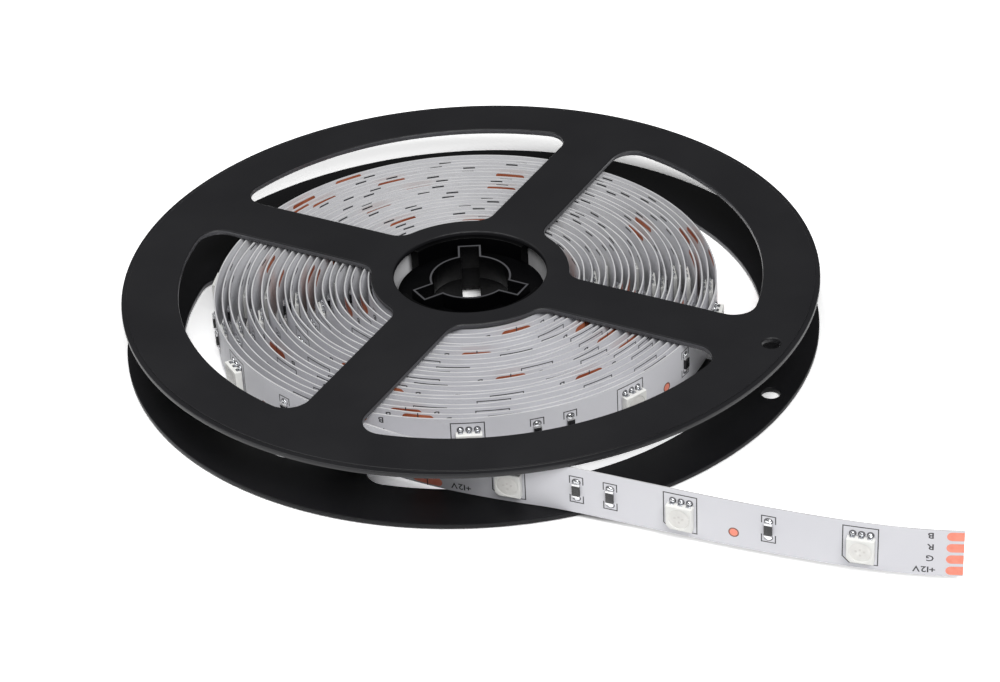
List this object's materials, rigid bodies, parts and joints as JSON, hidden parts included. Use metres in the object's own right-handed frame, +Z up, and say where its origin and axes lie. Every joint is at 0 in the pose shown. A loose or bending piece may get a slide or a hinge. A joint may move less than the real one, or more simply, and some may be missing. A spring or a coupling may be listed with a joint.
{
  "type": "led strip light reel",
  "caption": "Flat spoked plastic reel wound with a flexible light strip of square surface-mounted lights, its free end drawn out from under the rim.",
  "frame": {"origin": "middle of the whole outline in plan, reel and drawn-out end together, at the underside of the lower flange", "axes": "+Z up along the reel's axis with the reel lying flat; the free end leaves towards +X and -Y"},
  "size_m": [0.155, 0.1632, 0.0127],
  "materials": {
    "reel_plastic": "satin",
    "strip": "satin",
    "light_body": "satin",
    "resistor_body": "glossy"
  },
  "bodies": {
    "root": {"upper_reel_half": "reel_plastic", "lower_reel_half": "reel_plastic", "led_strip": "strip", "led_01": "light_body", "led_02": "light_body", "led_03": "light_body", "led_04": "light_body", "led_05": "light_body", "led_06": "light_body", "led_07": "light_body", "led_08": "light_body", "led_09": "light_body", "led_10": "light_body", "led_11": "light_body", "led_12": "light_body", "led_13": "light_body", "resistor_01": "resistor_body", "resistor_02": "resistor_body", "resistor_03": "resistor_body", "resistor_04": "resistor_body", "resistor_05": "resistor_body", "resistor_06": "resistor_body", "resistor_07": "resistor_body", "resistor_08": "resistor_body", "resistor_09": "resistor_body", "resistor_10": "resistor_body", "resistor_11": "resistor_body", "resistor_12": "resistor_body"}
  },
  "joints": []
}
